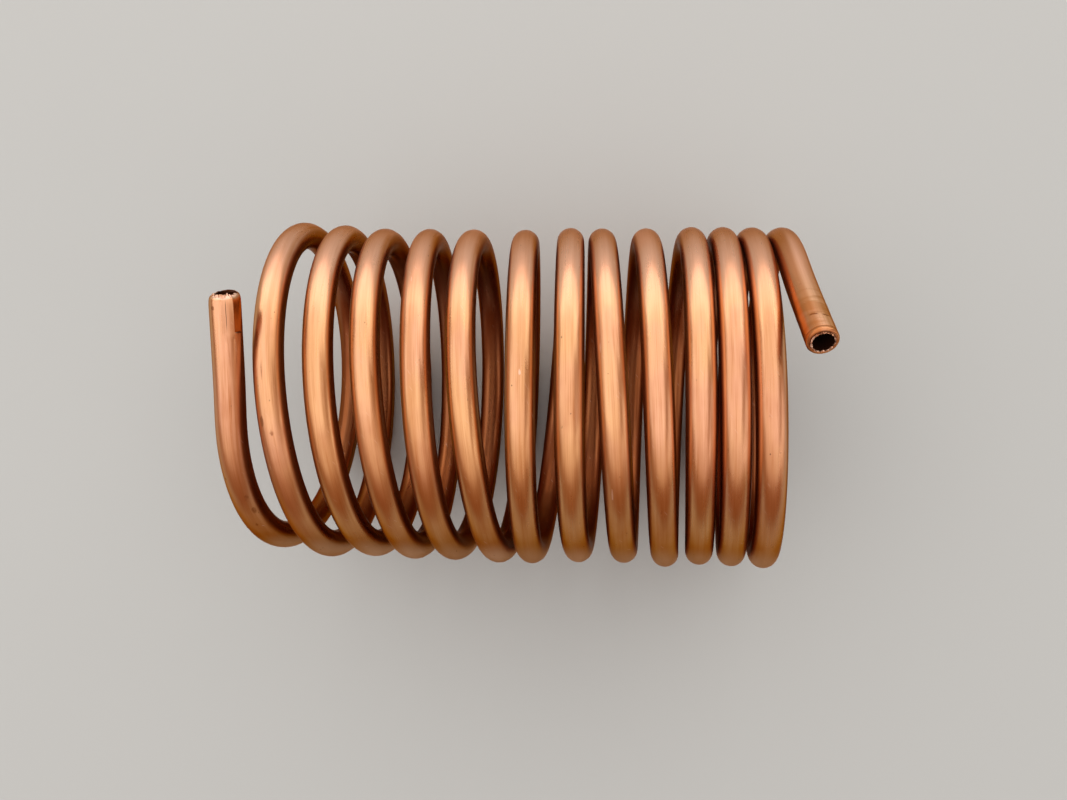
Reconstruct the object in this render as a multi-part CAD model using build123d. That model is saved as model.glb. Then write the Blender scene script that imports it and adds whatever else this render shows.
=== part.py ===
from build123d import *
from math import cos, floor, radians, sin, tan
import os

# A coil of soft copper tube, wound by hand and lying on its turns. Millimetres, +Z up.
# The coil's axis runs along X. Seen along +X, an angle of 0 points to +Y and 90 degrees is the crown.

# Tube
tube_diameter = 6.0
wall = 0.7

# Coil
coil_radius = 35.0      # from the coil's axis to the middle of the tube
arcs_per_turn = 6
coil_arcs = 77          # twelve full turns and five sixths
left_leave = 106.0      # angle at which the tube leaves the coil towards its left end

# How each turn lies, from the left end to the right:
# the clear gap to the next turn along the crown,
# how far the turn leans to the right on its -Y side, and how far to the right at its crown,
# how far its middle lies towards +Y, and how much it is spread along Y.
turns = [
    (1.6, -3.2, -0.5, 2.6, 0.4),
    (3.9, 2.3, 0.7, 0.5, 0.8),
    (3.5, 1.5, -0.8, 0.6, 0.3),
    (3.8, 2.0, -0.1, -0.1, 0.1),
    (3.0, 0.9, 0.0, 0.0, 0.1),
    (5.3, 1.4, -1.8, -0.3, 0.2),
    (3.4, -1.3, 0.5, -0.4, 0.2),
    (2.2, -0.9, -0.2, 0.1, 0.2),
    (2.7, 1.1, -0.3, 0.2, -0.2),
    (2.1, 0.4, -2.0, -0.3, 0.4),
    (0.3, -0.7, -2.7, 0.3, 0.1),
    (0.6, -0.3, -3.0, 0.2, 0.1),
    (0.5, 0.0, -3.1, 0.0, 0.2),
    (0.5, 0.2, -3.3, 0.0, 0.2),
]

# Straight ends
left_end = 24.7
left_stray = -0.5       # how far the end strays to the right of the turn that it leaves
right_end = 24.2
right_stray = 2.1

# Left end, squeezed by pliers
pinch_length = 8.2
pinch_depth = 0.28          # how far each jaw pressed the tube in
jaw_tilts = (32.0, 77.0)    # how far each bite leans from the coil's outer side to its right
mouth_height = 3.4          # the bore's widths at the squeezed mouth
mouth_width = 3.8
cut_slope = 14.0            # the left end isn't cut square

# Right end, rolled in by a tube cutter
rim_round = 0.45

arc_share = 0.99        # how much of each straight run its arcs take up

tube_radius = tube_diameter / 2
bore_radius = tube_radius - wall
arc_angle = 360 / arcs_per_turn
half_run = coil_radius * tan(radians(arc_angle) / 2)


def crown_places():
    """Where each turn crosses the crown, along X."""
    places = [0.0]
    for turn in turns[:-1]:
        places.append(places[-1] + tube_diameter + turn[0])
    return places


def blend(values, turn):
    """A value that each turn sets, carried over evenly to the next turn."""
    whole = min(max(floor(turn), 0), len(values) - 2)
    share = turn - whole
    return values[whole] * (1 - share) + values[whole + 1] * share


def corner(angle):
    """A corner of the path's straight runs, outside the circle that its arc follows."""
    turn = (angle - 90) / 360
    _, side_lean, crown_lean, shift, spread = [blend(values, turn) for values in zip(*turns)]
    across = cos(radians(angle)) / cos(radians(arc_angle) / 2)
    up = sin(radians(angle)) / cos(radians(arc_angle) / 2)
    x = blend(crown_places(), turn) - side_lean * across + crown_lean * (up - 1)
    return Vector(x, (coil_radius + spread) * across + shift, coil_radius * up)


def end_tip(last, beyond, length, stray):
    """Where a straight end stops: it leaves the last corner as the next run would, and strays along X."""
    way = (beyond - last).normalized()
    return last + way * (half_run + length) + Vector(stray, 0, 0)


def coil_path():
    """The middle line of the round tube: straight ends, and one arc for each corner of the coil."""
    first = left_leave + arc_angle / 2
    corners = [corner(first + arc_angle * step) for step in range(-1, coil_arcs + 1)]
    left_tip = end_tip(corners[1], corners[0], left_end, left_stray)
    right_tip = end_tip(corners[-2], corners[-1], right_end, right_stray)
    round_start = left_tip + (corners[1] - left_tip).normalized() * pinch_length
    points = [round_start] + corners[1:-1] + [right_tip]
    radii = []
    for before, here, after in zip(points, points[1:], points[2:]):
        bend = radians((here - before).get_angle(after - here))
        shorter = min((here - before).length, (after - here).length, 2 * half_run)
        radii.append(arc_share * shorter / 2 / tan(bend / 2))
    return FilletPolyline(*points, radius=radii)


def squeezed_end():
    """The last stretch at the left, from its mouth at Z = 0: flats from the jaws and a narrowing bore."""
    end = Cylinder(tube_radius, pinch_length, align=(Align.CENTER, Align.CENTER, Align.MIN))
    for tilt in jaw_tilts:
        jaws = Box(tube_diameter - 2 * pinch_depth, 2 * tube_diameter, 3 * pinch_length)
        end &= Rot(0, 0, -tilt) * jaws
    mouth = Ellipse(mouth_height / 2, mouth_width / 2)
    bore = Plane.XY.offset(pinch_length) * Circle(bore_radius)
    end -= loft([mouth, bore])
    low_side = tube_radius * tan(radians(cut_slope))
    waste = Box(3 * tube_diameter, 3 * tube_diameter, 3 * tube_diameter,
                align=(Align.CENTER, Align.CENTER, Align.MAX))
    return end - Pos(0, 0, low_side) * Rot(0, -cut_slope, 0) * waste


def copper_tube():
    """The whole tube, and its middle line."""
    path = coil_path()
    section = Circle(tube_radius) - Circle(bore_radius)
    tube = sweep(Plane(path @ 0, z_dir=path % 0) * section, path=path)
    rim = tube.edges().filter_by(GeomType.CIRCLE).filter_by(
        lambda edge: abs(edge.radius - tube_radius) < rim_round / 10).sort_by_distance(path @ 1)[0]
    tube = fillet(rim, rim_round)
    mouth = path @ 0 - (path % 0) * pinch_length
    tube += Plane(mouth, x_dir=(0, 0, 1), z_dir=path % 0) * squeezed_end()
    return tube, path


tube, path = copper_tube()
bounds = tube.bounding_box()
to_floor = Pos(-bounds.center().X, -bounds.center().Y, -bounds.min.Z)
tube = to_floor * tube
path = to_floor * path

print("length of tube", path.length + pinch_length, "size", bounds.size)
print("left end starts at", path @ 0, "and points along", -(path % 0))
print("right end stops at", path @ 1, "and points along", path % 1)
os.makedirs("parts", exist_ok=True)
export_step(tube, "parts/copper_tube.step")
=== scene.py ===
import math

import bmesh
import bpy
from bpy.props import FloatProperty, FloatVectorProperty, IntProperty, PointerProperty
from mathutils import Matrix, Vector


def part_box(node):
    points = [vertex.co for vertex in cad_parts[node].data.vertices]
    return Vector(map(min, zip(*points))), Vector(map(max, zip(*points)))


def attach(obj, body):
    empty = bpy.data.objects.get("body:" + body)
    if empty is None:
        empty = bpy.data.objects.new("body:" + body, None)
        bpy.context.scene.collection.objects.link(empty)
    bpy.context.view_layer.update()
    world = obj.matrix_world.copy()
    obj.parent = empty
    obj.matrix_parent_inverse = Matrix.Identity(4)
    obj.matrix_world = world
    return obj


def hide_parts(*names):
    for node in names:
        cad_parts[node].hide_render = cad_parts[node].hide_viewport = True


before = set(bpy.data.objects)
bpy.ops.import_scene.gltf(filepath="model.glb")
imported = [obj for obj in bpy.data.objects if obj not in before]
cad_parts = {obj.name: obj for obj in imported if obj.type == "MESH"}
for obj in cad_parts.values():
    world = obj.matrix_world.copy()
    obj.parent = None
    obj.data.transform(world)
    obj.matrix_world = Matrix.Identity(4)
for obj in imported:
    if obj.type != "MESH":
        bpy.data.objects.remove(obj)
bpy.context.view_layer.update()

bl_info = {
    "name": "Copper Tube Coil",
    "version": (1, 0, 0),
    "blender": (4, 5, 0),
    "location": "3D View > Sidebar > Copper Coil",
    "description": "A hand-wound coil of soft copper tube, drawn straight and then bent round",
    "category": "Add Mesh",
}

MM = 0.001
PIECE = "drawn_copper_tube"

# How each turn lies, from the left end to the right, in millimetres:
# the clear gap to the next turn along the crown,
# how far the turn leans to the right on its -Y side, and how far to the right at its crown,
# how far its middle lies towards +Y, and how much it is spread along Y.
TURNS = [
    (1.6, -3.2, -0.5, 2.6, 0.4),
    (3.9, 2.3, 0.7, 0.5, 0.8),
    (3.5, 1.5, -0.8, 0.6, 0.3),
    (3.8, 2.0, -0.1, -0.1, 0.1),
    (3.0, 0.9, 0.0, 0.0, 0.1),
    (5.3, 1.4, -1.8, -0.3, 0.2),
    (3.4, -1.3, 0.5, -0.4, 0.2),
    (2.2, -0.9, -0.2, 0.1, 0.2),
    (2.7, 1.1, -0.3, 0.2, -0.2),
    (2.1, 0.4, -2.0, -0.3, 0.4),
    (0.3, -0.7, -2.7, 0.3, 0.1),
    (0.6, -0.3, -3.0, 0.2, 0.1),
    (0.5, 0.0, -3.1, 0.0, 0.2),
    (0.5, 0.2, -3.3, 0.0, 0.2),
]
CROWN = 90.0        # degrees: where a turn is highest
HALF_ARC = 30.0     # degrees from the corner of an arc to where a straight end leaves it
PATH_STEP = 15.0    # degrees between two control points of the coil's line
END_STEPS = (0.5, 1.5, 2.5)     # the same on a straight end, in steps from where it leaves the coil
LINE_PIECES = 12    # pieces in which the line is traced from one control point to the next
SIDES = 40          # faces round the tube
SHARP_ANGLE = 20    # degrees: sharper edges than this aren't smoothed
# The long middle is divided twice over: edges longer than this many metres, and the cuts across its bore.
MIDDLE_CUTS = ((1.0, 15), (0.05, 17))

# Loops across the straight tube where its ends are shaped, in millimetres: past the left mouth,
# past the tube's left start, and back from the right rim.
MOUTH_LOOPS = (0.12, 0.28, 0.5, 0.8, 1.2, 1.7, 2.3, 3.0, 4.0)
BITE_LOOPS = (6, 7)
RIM_LOOPS = (16, 13, 11, 10, 9.2, 8.6, 8.0, 7.4, 6.8, 6.2, 5.6, 5.0, 4.4, 3.8, 3.2, 2.6, 2.0, 1.6, 1.3, 1.14,
             1.06, 0.98, 0.9, 0.7)

# The first bite of the pliers runs out past the jaws: how far past them, in millimetres,
# and the share of the bite that is left there.
RUN_OUT = ((0.13, 0.9), (0.8, 0.75), (2, 0.5), (5, 0.2))
# Radius of the mouth and of the first loops past it, as shares of the tube's: the wall is bent in.
BENT_IN = (0.80, 0.86, 0.915, 0.95, 0.975, 0.99, 0.997)
SLOPE_REACH = 5     # millimetres past the mouth over which the slope of its cut fades
LIP_JITTER = 0.13   # millimetres by which the torn lip is roughened
# Slivers on the torn left lip: the angle of each from the outer side to the right, in degrees,
# how far it stands out and how far it bends in over the bore, in millimetres.
TEETH = [(36, 0.32, 0.15), (95, 0.20, 0.20), (-132, 0.05, 1.1)]
TOOTH_WIDTH = 6     # degrees to each side of a sliver's middle
LIP_RADIUS = 2.3    # millimetres: the torn lip lies within it

# Grooves and ridges that the cutter left: how far each is back from the right rim, in millimetres,
# and its radius as a share of the tube's.
CUTTER_RINGS = (
    (1.06, 0.983), (2.6, 1.003), (3.2, 1.005), (3.8, 1.001), (5.0, 0.996), (5.6, 0.993), (6.2, 0.998),
    (8.0, 1.004), (8.6, 1.006), (9.2, 1.002))
BURR_JITTER = 0.2   # millimetres by which the burr is roughened

# Oval marks on the tube: how far each is from the left end and half its length, in millimetres,
# its angle from the outer side to the right and half its width, in degrees.
SCUFFS = [
    (3.7, 0.5, -26, 7), (42.1, 1.0, 31, 9), (46.0, 1.3, 40, 11), (50.5, 0.7, 22, 6), (230.5, 3.6, -26, 6),
    (235.5, 3.0, -6, 5), (245.5, 1.1, -24, 8), (247.8, 0.8, 9, 9)]
TICKS = [(1777.0, 1.1, -41, 2.5), (1804.0, 1.3, -23, 2.5), (1340.0, 0.8, 4, 2.5), (880.0, 0.9, -12, 2.5)]
# Marks of the same kind that the pliers left: a crease, and the edge of a jaw, whose place is measured
# from the end of the bites.
CREASE = (4.9, 3.6, 27, 1.7)
JAW_EDGE = (0.05, 0.28, 78, 24)

# Noises of the finish: how often each changes in a metre along and across the straight tube, or None
# where it lies in the coil's own space, and then its scale, detail and roughness.
NOISES = {
    # drawing lines, from broad streaks to fine hairlines
    "broad": ((14, 420, 420), 1.0, 2.0, 0.5),
    "middle": ((40, 1500, 1500), 1.0, 3.0, 0.6),
    "fine": ((110, 5200, 5200), 1.0, 2.0, 0.6),
    # patches from handling and annealing
    "cloud": (None, 38.0, 4.0, 0.6),
    "film": ((60, 160, 160), 1.0, 3.0, 0.55),
    "smudge": (None, 210.0, 5.0, 0.65),
    "heat": (None, 15.0, 2.0, 0.5),
    # small specks, the worn bands near the right end, and the slight waves of a tube bent by hand
    "specks": ((900, 1300, 1300), 1.0, 1.0, 0.5),
    "bands": ((600, 110, 110), 1.0, 3.0, 0.5),
    "waves": ((22, 300, 300), 1.0, 1.0, 0.5),
}
EDGE_TINT = (0.55, 0.30, 0.16, 1)   # copper seen at a grazing angle

# The lights: width, height and place in metres, colour, and whether it is aimed at the coil's middle
# or points straight down.
LIGHTS = {
    "window": (3.6, 0.76, (0, 1.25, 0.44), (1.0, 0.97, 0.93), True),
    "panel": (2.75, 1.75, (-0.675, 0.325, 0.8), (1.0, 0.98, 0.96), False),
    "side": (1.2, 0.75, (1.3, 0.825, 0.8), (1.0, 0.98, 0.96), False),
    "fill": (3.0, 0.75, (0.05, -0.925, 0.8), (1.0, 0.98, 0.96), False),
    "low": (0.9, 0.55, (1.3, -0.35, 0.46), (1.0, 0.98, 0.96), True),
}
COIL_MIDDLE = (0, 0, 0.04)          # metres
ROOM = (1.0, 0.95, 0.90, 1)         # the room's light on everything but the metal
FLOOR_SIZE = 6                      # metres

# The camera, as it was worked out from the photograph: its place in millimetres and its turns in degrees.
CAMERA_PLACE = (15.06, -15.29, 233.0)
CAMERA_TURNS = (4.044, 4.235, 1.010)


class TubeSizes(bpy.types.PropertyGroup):
    diameter: FloatProperty(
        name="Diameter", description="Outside of the tube", default=6.0 * MM, unit="LENGTH")
    wall: FloatProperty(
        name="Wall", description="Thickness of the tube's wall", default=0.7 * MM, unit="LENGTH")
    coil_radius: FloatProperty(
        name="Coil radius", description="From the coil's axis to the middle of the tube",
        default=35.0 * MM, unit="LENGTH")
    coil_turn: FloatProperty(
        name="Wound angle", description="Angle through which the tube is wound",
        default=math.radians(4620), subtype="ANGLE")
    left_leave: FloatProperty(
        name="Left leave", description="Angle at which the tube leaves the coil towards its left end",
        default=math.radians(106), subtype="ANGLE")
    left_end: FloatProperty(
        name="Left end", description="Straight stretch at the left", default=25.4 * MM, unit="LENGTH")
    left_stray: FloatProperty(
        name="Left stray", description="How far the left end strays to the right",
        default=-0.5 * MM, unit="LENGTH")
    right_end: FloatProperty(
        name="Right end", description="Straight stretch at the right", default=24.2 * MM, unit="LENGTH")
    right_stray: FloatProperty(
        name="Right stray", description="How far the right end strays to the right",
        default=2.1 * MM, unit="LENGTH")
    pinch_length: FloatProperty(
        name="Pinch length", description="Stretch that the pliers flattened", default=8.2 * MM, unit="LENGTH")
    pinch_depth: FloatProperty(
        name="Pinch depth", description="How far each jaw pressed the tube in",
        default=0.28 * MM, unit="LENGTH")
    first_bite: FloatProperty(
        name="First bite", description="How far the first bite leans from the coil's outer side to its right",
        default=math.radians(32), subtype="ANGLE")
    second_bite: FloatProperty(
        name="Second bite",
        description="How far the second bite leans from the coil's outer side to its right",
        default=math.radians(77), subtype="ANGLE")
    mouth_height: FloatProperty(
        name="Mouth height", description="Bore at the squeezed mouth, in and out",
        default=3.4 * MM, unit="LENGTH")
    mouth_width: FloatProperty(
        name="Mouth width", description="Bore at the squeezed mouth, side to side",
        default=3.8 * MM, unit="LENGTH")
    cut_slope: FloatProperty(
        name="Cut slope", description="How far the left end is from square",
        default=math.radians(20), subtype="ANGLE")
    rim_round: FloatProperty(
        name="Rim round", description="Rounding that the cutter's wheel left on the right rim",
        default=0.45 * MM, unit="LENGTH")
    burr_radius: FloatProperty(
        name="Burr radius", description="Bore inside the burr at the right rim",
        default=2.05 * MM, unit="LENGTH")
    rings: IntProperty(
        name="Rings", description="How finely the outer wall is divided along its length",
        default=33, min=8, max=40)


class CopperLook(bpy.types.PropertyGroup):
    copper: FloatVectorProperty(
        name="Copper", description="Clean drawn copper", subtype="COLOR", size=3, default=(0.87, 0.54, 0.28))
    # also painted light: this colour is laid on the coil's back, towards +Y, which comes out paler and rosier
    rosy_film_and_light: FloatVectorProperty(
        name="Rosy film", description="Thin pink film where the tube was annealed",
        subtype="COLOR", size=3, default=(0.88, 0.51, 0.36))
    # also painted shade and a painted dark reflection: this colour darkens the front and a band on each
    # turn's right side
    tarnish_and_shade: FloatVectorProperty(
        name="Tarnish", description="Brown tarnish", subtype="COLOR", size=3, default=(0.46, 0.155, 0.035))
    bright: FloatVectorProperty(
        name="Fresh cut", description="Freshly cut or torn metal",
        subtype="COLOR", size=3, default=(0.92, 0.68, 0.55))
    # also painted shade: this colour darkens the gaps between the turns and the very front, and on the side
    # facing into the coil it is partly real oxide, partly painted shade
    inner: FloatVectorProperty(
        name="Inner side", description="Heavy brown oxide on the side that faces into the coil",
        subtype="COLOR", size=3, default=(0.22, 0.055, 0.012))
    # painted reflection of the pale floor, laid at the very front of the coil
    painted_floor_reflection: FloatVectorProperty(
        name="Bloom", description="Dull pale film low on the front",
        subtype="COLOR", size=3, default=(0.66, 0.44, 0.30))
    # also painted shade: this colour makes the bore nearly black, on top of its real tarnish
    soot_and_bore_shade: FloatVectorProperty(
        name="Soot", description="Dark specks and the oily bore",
        subtype="COLOR", size=3, default=(0.06, 0.02, 0.01))


class StageLook(bpy.types.PropertyGroup):
    floor: FloatVectorProperty(
        name="Floor", description="Pale matt floor", subtype="COLOR", size=3, default=(0.48, 0.48, 0.47))
    walls: FloatVectorProperty(
        name="Room walls", description="What the metal mirrors between the lights",
        subtype="COLOR", size=3, default=(0.77, 0.34, 0.13))
    window: FloatProperty(
        name="Window light", description="Power of the wide window", default=12.2, subtype="POWER")
    panel: FloatProperty(
        name="Panel light", description="Power of the soft panel overhead", default=13.8, subtype="POWER")
    side: FloatProperty(
        name="Side light", description="Power of the panel at the back right", default=3.0, subtype="POWER")
    fill: FloatProperty(
        name="Fill light", description="Power of the weaker panel in front", default=4.4, subtype="POWER")
    low: FloatProperty(
        name="Low light", description="Power of the small low panel at the right",
        default=1.2, subtype="POWER")
    world: FloatProperty(name="Room", description="Brightness of the room round the stage", default=0.45)
    focal: FloatProperty(name="Focal length", description="Lens of the camera in millimetres", default=28.37)


# ---------------------------------------------------------------- the coil's line

def blend(values, turn):
    """A value that each turn sets, carried over evenly to the next turn."""
    whole = min(max(math.floor(turn), 0), len(values) - 2)
    share = turn - whole
    return values[whole] * (1 - share) + values[whole + 1] * share


def coil_point(sizes, angle, reach):
    """A point round the coil, with the coil's axis along Z.

    The angle is in degrees, and the reach is 1 on the tube's line."""
    crowns = [0.0]
    for turn in TURNS[:-1]:
        crowns.append(crowns[-1] + sizes.diameter + turn[0] * MM)
    turn = (angle - CROWN) / 360
    _, side_lean, crown_lean, shift, spread = [
        blend([MM * value for value in values], turn) for values in zip(*TURNS)]
    across = reach * math.cos(math.radians(angle))
    up = reach * math.sin(math.radians(angle))
    along = blend(crowns, turn) - side_lean * across + crown_lean * (up - 1)
    return Vector(((sizes.coil_radius + spread) * across + shift, sizes.coil_radius * up, along))


def straight_end(sizes, angle, way, length, stray):
    """The tip of a straight end, and where it leaves the coil: way is 1 onwards or -1 back."""
    half_arc = math.radians(HALF_ARC)
    reach = 1 / math.cos(half_arc)
    last = coil_point(sizes, angle - HALF_ARC * way, reach)
    beyond = coil_point(sizes, angle + HALF_ARC * way, reach)
    ahead = (beyond - last).normalized()
    half_run = sizes.coil_radius * math.tan(half_arc)
    return last + ahead * (half_run + length) + Vector((0, 0, stray)), last + ahead * half_run


def line_points(sizes):
    """Control points of the smooth line that the tube follows, from its left mouth to its right rim."""
    first = math.degrees(sizes.left_leave)
    last = first + math.degrees(sizes.coil_turn)
    # a cubic spline runs inside its control points, so these lie a little outside the tube's line
    reach = 3 / (2 + math.cos(math.radians(PATH_STEP)))
    side = 2 * sizes.coil_radius * reach * math.sin(math.radians(PATH_STEP / 2))
    left_tip, left_foot = straight_end(sizes, first, -1, sizes.left_end, sizes.left_stray)
    right_tip, right_foot = straight_end(sizes, last, 1, sizes.right_end, sizes.right_stray)
    left_way = (left_tip - left_foot).normalized()
    right_way = (right_tip - right_foot).normalized()
    points = [left_tip] + [left_foot + left_way * side * step for step in END_STEPS[::-1]]
    angle = first + PATH_STEP / 2
    while angle < last:
        points.append(coil_point(sizes, angle, reach))
        angle += PATH_STEP
    return points + [right_foot + right_way * side * step for step in END_STEPS] + [right_tip]


def coil_line(sizes):
    """The line as a curve object with the coil's axis along Z, and its length."""
    curve = bpy.data.curves.new("coil_line", "CURVE")
    curve.dimensions = "3D"
    curve.twist_mode = "Z_UP"
    curve.use_stretch = curve.use_deform_bounds = False
    curve.resolution_u = LINE_PIECES
    spline = curve.splines.new("NURBS")
    points = line_points(sizes)
    spline.points.add(len(points) - 1)
    for target, point in zip(spline.points, points):
        target.co = (*point, 1)
    spline.order_u = 4
    spline.use_endpoint_u = True
    line = bpy.data.objects.new("coil_line", curve)
    bpy.context.collection.objects.link(line)
    traced = bpy.data.meshes.new_from_object(line)
    places = [vertex.co for vertex in traced.vertices]
    length = sum((after - before).length for before, after in zip(places, places[1:]))
    bpy.data.meshes.remove(traced)
    return line, length


# ---------------------------------------------------------------- modelling the straight tube

def pick(piece, test, kind="VERT"):
    """Selects the vertices or edges of the piece in edit mode whose places pass the test."""
    bpy.ops.mesh.select_mode(type=kind)
    bpy.ops.mesh.select_all(action="DESELECT")
    mesh = bmesh.from_edit_mesh(piece.data)
    if kind == "VERT":
        found = [vertex for vertex in mesh.verts if test(vertex.co)]
    else:
        found = [edge for edge in mesh.edges if test(edge.verts[0].co, edge.verts[1].co)]
    if not found:
        raise RuntimeError("nothing was there to select on " + piece.name)
    for element in found:
        element.select = True
    mesh.select_flush_mode()
    bmesh.update_edit_mesh(piece.data)


def near(value, wanted):
    return abs(value - wanted) < 0.002 * MM


def outside(sizes, place):
    """Whether a place is on the tube's outer wall and not on its bore."""
    return place.yz.length > 0.4 * sizes.diameter


def squeeze(centre, across, up):
    """Scales what is selected towards the tube's line: across along Z and up along Y."""
    bpy.ops.transform.resize(value=(1, up, across), orient_type="GLOBAL", center_override=centre)


def extrude_on(step):
    """Extrudes the selected rim by a step along the tube."""
    bpy.ops.mesh.extrude_region_move(TRANSFORM_OT_translate={"value": (step, 0, 0)})


def grow(profile, at, radius):
    """Extrudes the selected rim, which has the radius, from a place along the tube through a profile.

    The profile is a list of places and radii. Returns the last place."""
    for place, after in profile:
        extrude_on(place - at)
        squeeze((place, 0, 0), after / radius, after / radius)
        at, radius = place, after
    return at


def press_flat(piece, sizes, lean, run_out=()):
    """Presses both jaws of the pliers into the left end, leaning from the outer side to the right.

    The run-out lists loops past the jaws, and what share of the bite is left at each."""
    outward = Vector((0, -math.cos(lean), math.sin(lean)))
    tangent = Vector((0, math.sin(lean), math.cos(lean)))
    turned = Matrix((outward, Vector((1, 0, 0)), tangent)).transposed()
    slack = 0.001 * MM
    after = 0
    for reach, share in ((sizes.pinch_length, 1), *run_out):
        depth = sizes.diameter / 2 - sizes.pinch_depth * share
        for side in (1, -1):
            pick(piece, lambda place: after < place.x < reach + slack and side * place.dot(outward) > depth
                 and outside(sizes, place))
            bpy.ops.transform.resize(
                value=(0, 1, 1), orient_type="GLOBAL", orient_matrix=turned, orient_matrix_type="GLOBAL",
                constraint_axis=(True, False, False), center_override=outward * depth * side)
        after = reach + slack


def mouth_setback(sizes):
    """How far the left mouth's middle lies in from its outermost point, because the cut slopes."""
    return sizes.diameter / 2 * math.sin(sizes.cut_slope)


def narrowed(sizes, place, opening):
    """Half the bore's width at a place in the squeezed end, where the mouth has the opening."""
    bore = sizes.diameter / 2 - sizes.wall
    return bore + (opening / 2 - bore) * (1 - min(place / sizes.pinch_length, 1))


def drawn_tube(sizes, start, end):
    """One thin wall along X, left in edit mode: the tube as it was drawn, with its outer side towards -Y."""
    bpy.ops.object.select_all(action="DESELECT")
    bpy.ops.mesh.primitive_cylinder_add(
        vertices=SIDES, radius=sizes.diameter / 2, depth=end - start, end_fill_type="NOTHING",
        location=((end + start) / 2, 0, 0), rotation=(0, math.pi / 2, 0))
    tube = bpy.context.object
    tube.name = tube.data.name = PIECE
    bpy.ops.object.transform_apply(location=True, rotation=True, scale=True)
    bpy.ops.object.mode_set(mode="EDIT")
    return tube


def right_rim_and_bore(tube, sizes, length, bore_loops):
    """Rounds the right rim as the cutter's wheel did, raises the burr round the mouth and draws the bore."""
    radius = sizes.diameter / 2
    bore = radius - sizes.wall
    burr = sizes.burr_radius
    pinch = sizes.pinch_length
    rim_start = length - sizes.rim_round
    profile = []
    for share in (0.2, 0.4, 0.6, 0.8, 1.0):
        angle = share * math.pi / 2
        profile.append((rim_start + sizes.rim_round * math.sin(angle),
                        radius - sizes.rim_round * (1 - math.cos(angle))))
    # the face of the rim, then out round the burr and back into the bore
    profile += [
        (length - 0.05 * MM, bore + 0.06 * MM), (length + 0.02 * MM, bore - 0.04 * MM),
        (length + 0.14 * MM, burr + 0.12 * MM), (length + 0.14 * MM, burr + 0.04 * MM),
        (length + 0.04 * MM, burr), (length - 0.25 * MM, burr + 0.02 * MM),
        (length - 0.7 * MM, burr + 0.1 * MM), (length - 1.3 * MM, bore),
        (length - 12 * MM, bore), (pinch + 4 * MM, bore)]
    pick(tube, lambda place: near(place.x, rim_start))
    at = grow(profile, rim_start, radius)
    # the bore narrows through the squeezed end, in rings of its own
    for place in [pinch] + bore_loops[::-1]:
        extrude_on(place - at)
        across, up = [narrowed(sizes, place, opening) / narrowed(sizes, at, opening)
                      for opening in (sizes.mouth_width, sizes.mouth_height)]
        squeeze((place, 0, 0), across, up)
        at = place


def squeezed_end(tube, sizes, outer_loops, bore_loops):
    """Shapes the left end: flats from the jaws, a shoulder bent in towards the mouth, and a torn lip."""
    mouth = outer_loops[0]
    pinch = sizes.pinch_length
    press_flat(tube, sizes, sizes.first_bite, [(pinch + past * MM, share) for past, share in RUN_OUT])
    press_flat(tube, sizes, sizes.second_bite)
    for place, share in zip(outer_loops, BENT_IN):
        pick(tube, lambda at: near(at.x, place) and outside(sizes, at))
        squeeze((place, 0, 0), share, share)

    # the rings near the mouth are turned, less and less, so that the cut faces outwards
    reach = mouth + SLOPE_REACH * MM
    for place in sorted(outer_loops + bore_loops, reverse=True):
        pick(tube, lambda at: near(at.x, place))
        bpy.ops.transform.rotate(
            value=-sizes.cut_slope * (reach - place) / reach, orient_axis="Z", orient_type="GLOBAL",
            center_override=(place, 0, 0))

    bpy.ops.mesh.select_all(action="DESELECT")
    bpy.ops.mesh.select_mode(type="EDGE")
    bpy.ops.mesh.select_non_manifold(
        use_wire=False, use_multi_face=False, use_non_contiguous=False, use_verts=False)
    bpy.ops.mesh.bridge_edge_loops(number_cuts=1)
    bpy.ops.mesh.subdivide(number_cuts=1, fractal=0.4, fractal_along_normal=0.5, seed=5)
    slope = math.tan(sizes.cut_slope)

    def on_lip(at, depth):
        return at.x - mouth + at.y * slope < depth * MM and at.yz.length < LIP_RADIUS * MM

    pick(tube, lambda at: on_lip(at, 0.02))
    bpy.ops.transform.vertex_random(offset=LIP_JITTER * MM, uniform=0.9, normal=0.0, seed=3)
    for turn, lift, inwards in TEETH:
        turn = math.radians(turn)
        pick(tube, lambda at: on_lip(at, 0.2)
             and abs(math.atan2(at.z, -at.y) - turn) < math.radians(TOOTH_WIDTH))
        bpy.ops.transform.translate(
            value=(-lift * MM, inwards * math.cos(turn) * MM, -inwards * math.sin(turn) * MM))


def cutter_marks(tube, sizes, length):
    """Presses in the marks of the cutter's wheel and rollers, and frays the burr."""
    for back, share in CUTTER_RINGS:
        place = length - back * MM
        pick(tube, lambda at: near(at.x, place) and outside(sizes, at))
        squeeze((place, 0, 0), share, share)
    bore = sizes.diameter / 2 - sizes.wall
    pick(tube, lambda at: at.x > length + 0.01 * MM and at.yz.length < bore + 0.1 * MM)
    bpy.ops.mesh.subdivide(number_cuts=1, fractal=0.7, fractal_along_normal=0.6, seed=8)
    pick(tube, lambda at: at.x > length + 0.08 * MM)
    bpy.ops.transform.vertex_random(offset=BURR_JITTER * MM, uniform=0.9, normal=0.0, seed=8)


def divide_middle(tube, sizes):
    """Divides the long middle so that it can be bent, its outer wall more finely than its bore."""
    radius = sizes.diameter / 2
    in_wall = (radius - sizes.wall) * 1.1
    for longer_than, bore_cuts in MIDDLE_CUTS:
        for cuts, low, high in ((sizes.rings, in_wall, radius * 1.1), (bore_cuts, 0, in_wall)):
            pick(tube, lambda one, other: abs(one.x - other.x) > longer_than and low < one.yz.length < high,
                 "EDGE")
            bpy.ops.mesh.subdivide(number_cuts=cuts)


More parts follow.
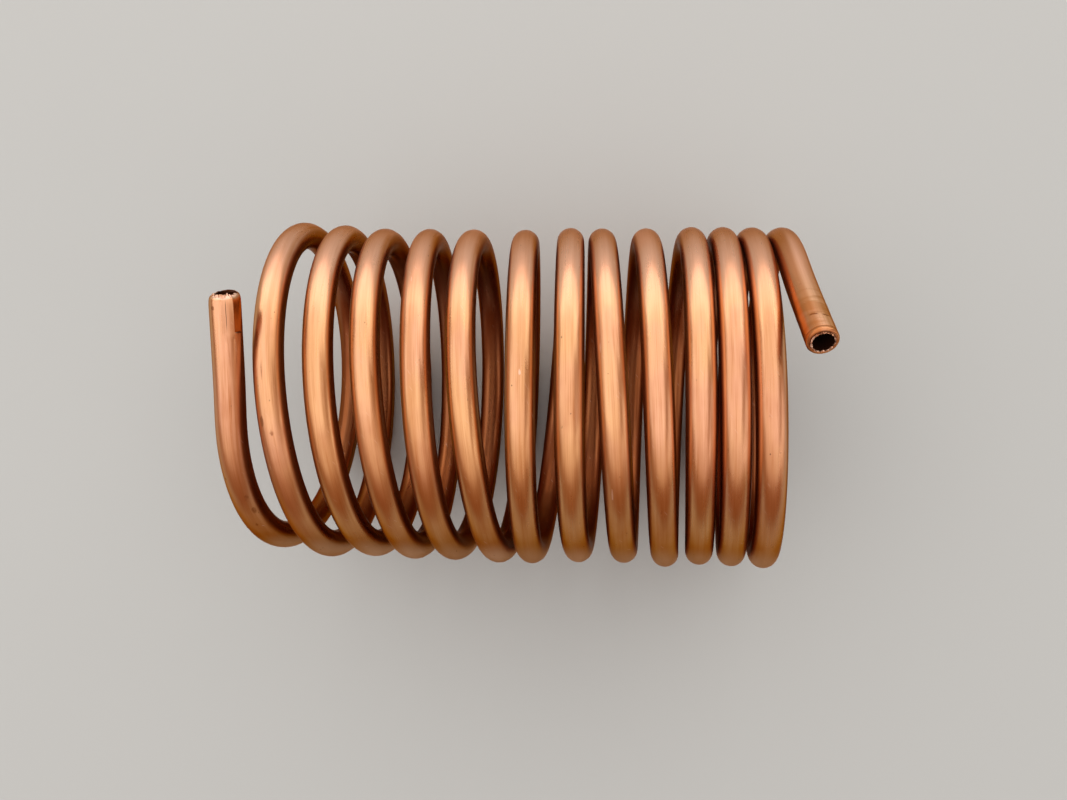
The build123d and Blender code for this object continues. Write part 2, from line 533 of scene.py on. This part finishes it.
def straight_tube(sizes, length):
    """The tube as it was before it was wound: along X from its left mouth, with its outer side towards -Y."""
    mouth = mouth_setback(sizes)
    pinch = sizes.pinch_length
    tube = drawn_tube(sizes, mouth, length - sizes.rim_round)
    mouth_loops = [mouth + MM * place for place in MOUTH_LOOPS]
    left_loops = mouth_loops + [place * MM for place in BITE_LOOPS] + [pinch - 0.02 * MM] + [
        pinch + past * MM for past, _ in RUN_OUT]
    for place in left_loops + [length - MM * back for back in RIM_LOOPS]:
        bpy.ops.mesh.select_all(action="SELECT")
        bpy.ops.mesh.bisect(plane_co=(place, 0, 0), plane_no=(1, 0, 0), threshold=1e-6)
    outer_loops = [mouth] + mouth_loops
    bore_loops = [loop + 0.01 * MM for loop in outer_loops]
    right_rim_and_bore(tube, sizes, length, bore_loops)
    squeezed_end(tube, sizes, outer_loops, bore_loops)
    cutter_marks(tube, sizes, length)
    divide_middle(tube, sizes)
    bpy.ops.object.mode_set(mode="OBJECT")
    return tube


def keep_straight_places(tube):
    """Keeps where each vertex lay on the straight tube, for the finish that was drawn along it."""
    places = [0.0] * 3 * len(tube.data.vertices)
    tube.data.vertices.foreach_get("co", places)
    kept = tube.data.attributes.new("drawn", "FLOAT_VECTOR", "POINT")
    kept.data.foreach_set("vector", places)


def wind(tube, line):
    """Bends the straight tube along the line, and lays the coil on its side in the CAD's place."""
    for chosen in bpy.context.selected_objects:
        chosen.select_set(False)
    tube.select_set(True)
    bpy.context.view_layer.objects.active = tube
    bend = tube.modifiers.new("wind", "CURVE")
    bend.object = line
    bend.deform_axis = "POS_X"
    bpy.ops.object.modifier_apply(modifier="wind")
    # the coil's axis goes from Z to X
    tube.matrix_world = Matrix(((0, 0, 1, 0), (1, 0, 0, 0), (0, 1, 0, 0), (0, 0, 0, 1)))
    bpy.ops.object.transform_apply(location=True, rotation=True, scale=True)
    low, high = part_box("copper_tube")
    corners = [Vector(corner) for corner in tube.bound_box]
    least = Vector([min(corner[axis] for corner in corners) for axis in range(3)])
    most = Vector([max(corner[axis] for corner in corners) for axis in range(3)])
    tube.location = (
        (low.x + high.x - least.x - most.x) / 2, (low.y + high.y - least.y - most.y) / 2, low.z - least.z)
    bpy.ops.object.transform_apply(location=True, rotation=True, scale=True)
    bpy.ops.object.shade_smooth_by_angle(angle=math.radians(SHARP_ANGLE))
    curve = line.data
    bpy.data.objects.remove(line)
    bpy.data.curves.remove(curve)


# ---------------------------------------------------------------- shader maths

class Wire:
    """A shader socket that takes part in Python expressions."""

    def __init__(self, shader, socket):
        self.shader, self.socket = shader, socket

    def math(self, operation, *others):
        return self.shader.node("ShaderNodeMath", {"operation": operation}, self, *others)

    def __add__(self, other):
        return self.math("ADD", other)

    def __sub__(self, other):
        return self.math("SUBTRACT", other)

    def __rsub__(self, other):
        return (self * -1) + other

    def __mul__(self, other):
        return self.math("MULTIPLY", other)

    def __truediv__(self, other):
        return self.math("DIVIDE", other)

    def __abs__(self):
        return self.math("ABSOLUTE")

    __radd__ = __add__
    __rmul__ = __mul__

    def most(self, other):
        """The higher of two values."""
        return self.math("MAXIMUM", other)

    def clip(self):
        return self.shader.node("ShaderNodeClamp", {}, self)

    def step(self, start, end):
        """0 below start, 1 above end and smooth between; start may be the higher one."""
        return self.shader.node(
            "ShaderNodeMapRange", {"interpolation_type": "SMOOTHSTEP"},
            {"Value": self, "From Min": start, "From Max": end})


class Shader:
    """A node material that is written as expressions."""

    def __init__(self, name):
        self.material = bpy.data.materials.new(name)
        self.material.use_nodes = True
        self.tree = self.material.node_tree
        self.tree.nodes.clear()

    def node(self, kind, settings, *values, out=0):
        """Adds a node: its settings, then its sockets by order, or by name where a dictionary is given."""
        made = self.tree.nodes.new(kind)
        for name, value in settings.items():
            setattr(made, name, value)
        pairs = list(enumerate(values))
        if values and isinstance(values[0], dict):
            pairs = values[0].items()
        for key, value in pairs:
            socket = made.inputs[key]
            if isinstance(value, Wire):
                self.tree.links.new(value.socket, socket)
            else:
                socket.default_value = value
        return Wire(self, made.outputs[out]) if made.outputs else None

    def mix(self, factor, one, other):
        """Goes from one colour to the other."""
        made = self.tree.nodes.new("ShaderNodeMix")
        made.data_type = "RGBA"
        for index, value in ((0, factor), (6, one), (7, other)):
            if isinstance(value, Wire):
                self.tree.links.new(value.socket, made.inputs[index])
            else:
                made.inputs[index].default_value = value if index == 0 else (*value, 1)
        return Wire(self, made.outputs[2])

    def split(self, vector):
        first = self.node("ShaderNodeSeparateXYZ", {}, vector)
        return [Wire(self, socket) for socket in first.socket.node.outputs]

    def noise(self, place, scale, detail, roughness=0.5):
        return self.node("ShaderNodeTexNoise", {"noise_dimensions": "3D"},
                         {"Vector": place, "Scale": scale, "Detail": detail, "Roughness": roughness})


class CopperFinish(Shader):
    """Satin drawn copper with streaks, tarnish, scratches and bright torn edges, laid over painted light,
    painted shade and painted reflections.
    """

    def __init__(self, look, sizes, length):
        super().__init__("drawn_copper")
        self.look, self.sizes, self.length = look, sizes, length
        drawn = self.node("ShaderNodeAttribute", {"attribute_name": "drawn"}, out=1)
        whole = self.node("ShaderNodeTexCoord", {}, out=3)
        # places on the straight tube, and in the coil
        self.along, self.inward, self.right = self.split(drawn)
        self.angle = self.right.math("ARCTAN2", self.inward * -1)
        self.radius = (self.inward * self.inward + self.right * self.right).math("SQRT")
        self.rightward, self.forward, _ = self.split(whole)
        self.noises = {}
        for name, (stretch, *settings) in NOISES.items():
            place = whole
            if stretch:
                place = self.node("ShaderNodeVectorMath", {"operation": "MULTIPLY"}, drawn, stretch)
            self.noises[name] = self.noise(place, *settings)
        self.colour = look.copper
        self.wear_and_painted_light()
        self.marks()
        self.left_end()
        self.right_end()
        self.cut_metal()
        self.finish()

    def paint(self, amount, shade):
        """Lays another colour over the colour so far."""
        self.colour = self.mix(amount, self.colour, shade)

    def oval(self, mark, start=0.0, drift=0.0, sway=0.0):
        """A soft-edged oval mark. Start is added to its place; drift and sway move it along and round."""
        place, length, turn, width = mark
        down = (self.along + drift - (start + place * MM)) / (length * MM)
        off = (self.angle + sway - math.radians(turn)) / math.radians(width)
        return (down * down + off * off).step(1.0, 0.25)

    def wear_and_painted_light(self):
        """Clean metal under streaks, films and tarnish, with painted light and shade by zone: paler on the
        back, darker at the front, on each turn's right side, between the turns and inside the coil, and a
        painted floor reflection at the very front.
        """
        look, right, forward = self.look, self.right, self.forward
        broad, middle, fine, cloud, film, heat = [
            self.noises[name] for name in ("broad", "middle", "fine", "cloud", "film", "heat")]
        streaks = (broad * 0.6 + middle * 0.4).step(0.42, 0.62)
        self.patches = (cloud * 0.5 + film * 0.5).step(0.47, 0.70)
        back = forward.step(4 * MM, 27 * MM)
        annealed = (heat * 0.6 + film * 0.4).step(0.42, 0.62)
        # the rosy annealed film, plus painted light that makes the coil's back, towards +Y, rosier and paler
        self.paint((annealed * 0.8).most(back * 0.9), look.rosy_film_and_light)
        # tarnish from streaks and patches, thinned on the coil's back as painted light
        self.paint((streaks * 0.38 + self.patches * 0.30 + fine.step(0.48, 0.72) * 0.24) * (1 - back * 0.6),
                   look.tarnish_and_shade)
        # browner on the right, to the front, and on the side of the right tail that faces the coil: the
        # streaky band on each turn's right side is a painted dark reflection, and the front is painted shade
        tail = self.along.step(self.length - 42 * MM, self.length - 30 * MM)
        coil = 1 - tail
        right_dark_reflection = right.step(1.5 * MM, 2.4 * MM) * (broad * 0.7 + film * 0.3).step(0.42, 0.54) * 0.55
        front = forward.step(-6 * MM, -29 * MM) * (0.36 + 0.7 * film)
        tail_side = right.step(-0.2 * MM, -1.3 * MM) * tail * 0.65
        self.paint(right_dark_reflection.most(front).most(tail_side).clip(), look.tarnish_and_shade)
        # darkest between the turns, at the very front and on the side that faces into the coil: painted shade
        # there, and on the side facing into the coil partly real oxide
        gap_shade = abs(right).step(2.2 * MM, 2.95 * MM) * 0.7 * coil
        inward_oxide_and_shade = self.inward.step(-0.9 * MM, 2.0 * MM) * (0.45 + 0.55 * coil)
        far_front_shade = forward.step(-28 * MM, -37 * MM) * (
            0.25 + 0.5 * self.rightward.step(40 * MM, -30 * MM))
        self.paint((inward_oxide_and_shade * 0.85).most(far_front_shade).most(gap_shade), look.inner)
        # painted reflection of the pale floor: pale and dull at the very front of the coil, not on the side
        # facing into the coil
        self.painted_floor_reflection = (forward.step(-32.5 * MM, -37.0 * MM) * (1 - inward_oxide_and_shade) * (0.45 + 0.7 * film)).clip()
        self.paint(self.painted_floor_reflection, look.painted_floor_reflection)

    def marks(self):
        """Specks, short straight scratches that slant across the tube, scuffs and bright ticks."""
        look, along = self.look, self.along
        smudge, middle = self.noises["smudge"], self.noises["middle"]
        specks = self.noises["specks"].step(0.765, 0.80)
        across = self.angle * (self.sizes.diameter / 2)
        slanted = self.node(
            "ShaderNodeCombineXYZ", {}, along * 330 + across * 230, across * 5200 - along * 3600, 0.0)
        self.scratches = self.noise(slanted, 1.0, 0.0).step(0.80, 0.85)
        self.paint(specks * 0.75 * smudge.step(0.42, 0.6), look.soot_and_bore_shade)
        self.paint(self.scratches * 0.45, look.bright)
        sway = (middle - 0.5) * 0.35
        for marks, amount, shade in (
                (SCUFFS, smudge.step(0.36, 0.60) * 0.65, look.inner), (TICKS, 0.8, look.bright)):
            found = 0.0
            for mark in marks:
                found = self.oval(mark, drift=(smudge - 0.5) * (3 * MM * mark[1]), sway=sway) + found
            self.paint(found.clip() * amount, shade)

    def left_end(self):
        """What the pliers left: a crease, the edge of a jaw and a browner second flat."""
        look, along = self.look, self.along
        pinch = self.sizes.pinch_length
        self.crease = self.oval(CREASE, sway=(self.noises["film"] - 0.5) * 0.12)
        jaw_edge = self.oval(JAW_EDGE, start=pinch)
        bitten = along.step(pinch + 0.05 * MM, pinch - 0.05 * MM) * along.step(1.2 * MM, 2.2 * MM)
        second_flat = bitten * self.angle.step(math.radians(52), math.radians(56))
        self.paint(second_flat * 0.9, look.tarnish_and_shade)
        self.paint(second_flat * 0.35, look.inner)
        self.paint(self.crease * 0.8 + jaw_edge * 0.6, look.soot_and_bore_shade)

    def right_end(self):
        """What the cutter left: its scored ring, the broken marks of its rollers, and rubbed bands."""
        look, along, length = self.look, self.along, self.length
        self.scored = abs(along - (length - 1.02 * MM)).step(0.16 * MM, 0.06 * MM)
        arcs = abs(abs(self.angle) - math.radians(22)).step(math.radians(17), math.radians(9))
        wander = (self.noises["smudge"] - 0.5) * (2.4 * MM)
        rollers = abs(along - (length - 4.5 * MM) + wander).step(0.3 * MM, 0.1 * MM) * arcs
        rubbed = along.step(length - 15 * MM, length - 9 * MM) * self.noises["bands"].step(0.45, 0.60)
        self.paint(rubbed * 0.5, look.tarnish_and_shade)
        self.paint(self.scored * 0.6 + rollers * 0.8, look.inner)

    def cut_metal(self):
        """Bright metal where the wall was torn or cut, and a dark bore, partly tarnish and partly painted
        shade.
        """
        look, sizes, radius = self.look, self.sizes, self.radius
        from_cut = self.along - mouth_setback(sizes) + self.inward * math.tan(sizes.cut_slope)
        torn = from_cut.step(0.22 * MM, 0.10 * MM) * radius.step(2.6 * MM, 2.3 * MM)
        burr = self.along.step(self.length + 0.03 * MM, self.length + 0.08 * MM)
        broken = 0.3 + 0.7 * abs(self.angle).step(math.radians(35), math.radians(70))
        fresh = torn.most(burr * broken) * self.noises["smudge"].step(0.34, 0.50)
        # painted shade in the bore: its wall is painted nearly black, darker than its real tarnish
        self.inside = radius.step(2.36 * MM, 2.32 * MM) * (1 - torn.most(burr))
        self.paint(self.inside * 0.95, look.soot_and_bore_shade)
        self.paint(fresh * 0.85, look.bright)

    def finish(self):
        """The metal's roughness, its relief and its output."""
        broad, middle, fine, cloud, smudge, waves = [
            self.noises[name] for name in ("broad", "middle", "fine", "cloud", "smudge", "waves")]
        roughness = (0.14 + 0.13 * middle + 0.12 * cloud + 0.12 * self.patches + 0.06 * smudge
                     + 0.4 * self.inside + 0.12 * self.painted_floor_reflection)
        height = (0.55 * broad.step(0.3, 0.7) + 0.55 * middle + 0.22 * fine + 0.10 * smudge
                  - 0.5 * self.scratches - 0.6 * self.crease - self.scored)
        waves = self.node("ShaderNodeBump", {}, {"Strength": 1.0, "Distance": 0.16 * MM, "Height": waves})
        normal = self.node("ShaderNodeBump", {}, {
            "Strength": 0.5, "Distance": 0.04 * MM, "Height": height, "Normal": waves})
        surface = self.node("ShaderNodeBsdfPrincipled", {}, {
            "Base Color": self.colour, "Metallic": 1.0, "Roughness": roughness.clip(), "Normal": normal,
            "Specular Tint": EDGE_TINT})
        self.node("ShaderNodeOutputMaterial", {}, surface)


# ---------------------------------------------------------------- the stage

def lay_floor(look):
    bpy.ops.object.select_all(action="DESELECT")
    bpy.ops.mesh.primitive_plane_add(size=FLOOR_SIZE, location=(0, 0, 0))
    floor = bpy.context.object
    floor.name = floor.data.name = "stage_floor"
    shader = Shader("pale_floor")
    grain = shader.noise(shader.node("ShaderNodeTexCoord", {}, out=3), 60.0, 3.0)
    colour = shader.mix(grain * 0.08, look.floor, tuple(0.9 * part for part in look.floor))
    surface = shader.node("ShaderNodeBsdfPrincipled", {}, {
        "Base Color": colour, "Roughness": 0.8, "Specular IOR Level": 0.2})
    shader.node("ShaderNodeOutputMaterial", {}, surface)
    floor.data.materials.append(shader.material)


def hang_lights(look):
    for name, (width, height, place, colour, aimed) in LIGHTS.items():
        bpy.ops.object.light_add(type="AREA", location=place)
        light = bpy.context.object
        light.name = light.data.name = name + "_light"
        light.data.shape = "RECTANGLE"
        light.data.size, light.data.size_y = width, height
        light.data.energy, light.data.color = getattr(look, name), colour
        if aimed:
            ahead = Vector(COIL_MIDDLE) - Vector(place)
            light.rotation_euler = ahead.to_track_quat("-Z", "Y").to_euler()


def paint_room(scene, look):
    """The world: the metal sees a warm brown room, which doesn't tint the floor."""
    world = bpy.data.worlds.new("room")
    world.use_nodes = True
    tree = world.node_tree
    background = tree.nodes["Background"]
    background.inputs["Strength"].default_value = look.world
    mirrored = tree.nodes.new("ShaderNodeLightPath").outputs["Is Glossy Ray"]
    walls = tree.nodes.new("ShaderNodeMix")
    walls.data_type = "RGBA"
    walls.inputs[6].default_value = ROOM
    walls.inputs[7].default_value = (*look.walls, 1)
    tree.links.new(mirrored, walls.inputs[0])
    tree.links.new(walls.outputs[2], background.inputs["Color"])
    scene.world = world


def set_camera(context, look):
    camera = bpy.data.objects.new("camera", bpy.data.cameras.new("camera"))
    context.collection.objects.link(camera)
    camera.data.lens = look.focal
    camera.data.sensor_width = 36
    camera.data.clip_start = 0.01
    camera.location = [part * MM for part in CAMERA_PLACE]
    camera.rotation_euler = [math.radians(turn) for turn in CAMERA_TURNS]
    context.scene.camera = camera
    context.scene.view_settings.view_transform = "Standard"


# ---------------------------------------------------------------- the add-on

class OBJECT_OT_copper_tube(bpy.types.Operator):
    """Draws the copper tube straight, shapes both its ends, winds it into the coil and finishes its metal"""
    bl_idname = "copper_coil.tube"
    bl_label = "Wound Copper Tube"

    def execute(self, context):
        sizes = context.scene.tube_sizes
        line, length = coil_line(sizes)
        tube = straight_tube(sizes, length)
        keep_straight_places(tube)
        wind(tube, line)
        tube.data.materials.clear()
        tube.data.materials.append(CopperFinish(context.scene.copper_look, sizes, length).material)
        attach(tube, "root")
        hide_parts("copper_tube")
        return {"FINISHED"}


class OBJECT_OT_coil_stage(bpy.types.Operator):
    """Lays the pale floor, hangs the lights and sets up the camera over the coil"""
    bl_idname = "copper_coil.stage"
    bl_label = "Floor, Lights and Camera"

    def execute(self, context):
        look = context.scene.stage_look
        lay_floor(look)
        hang_lights(look)
        paint_room(context.scene, look)
        set_camera(context, look)
        return {"FINISHED"}


class VIEW3D_PT_copper_coil(bpy.types.Panel):
    """The pieces of the coil and the stage"""
    bl_label = "Copper Coil"
    bl_space_type = "VIEW_3D"
    bl_region_type = "UI"
    bl_category = "Copper Coil"

    def draw(self, context):
        for group in GROUPS:
            owner = getattr(context.scene, group)
            for name in owner.__annotations__:
                self.layout.prop(owner, name)
        for operator in (OBJECT_OT_copper_tube, OBJECT_OT_coil_stage):
            self.layout.operator(operator.bl_idname)


GROUPS = {"tube_sizes": TubeSizes, "copper_look": CopperLook, "stage_look": StageLook}
CLASSES = (*GROUPS.values(), OBJECT_OT_copper_tube, OBJECT_OT_coil_stage, VIEW3D_PT_copper_coil)


def register():
    for cls in CLASSES:
        bpy.utils.register_class(cls)
    for name, group in GROUPS.items():
        setattr(bpy.types.Scene, name, PointerProperty(type=group))


def unregister():
    for name in GROUPS:
        delattr(bpy.types.Scene, name)
    for cls in reversed(CLASSES):
        bpy.utils.unregister_class(cls)


def main():
    register()
    bpy.ops.copper_coil.tube()
    bpy.ops.copper_coil.stage()


if __name__ == "__main__":
    main()
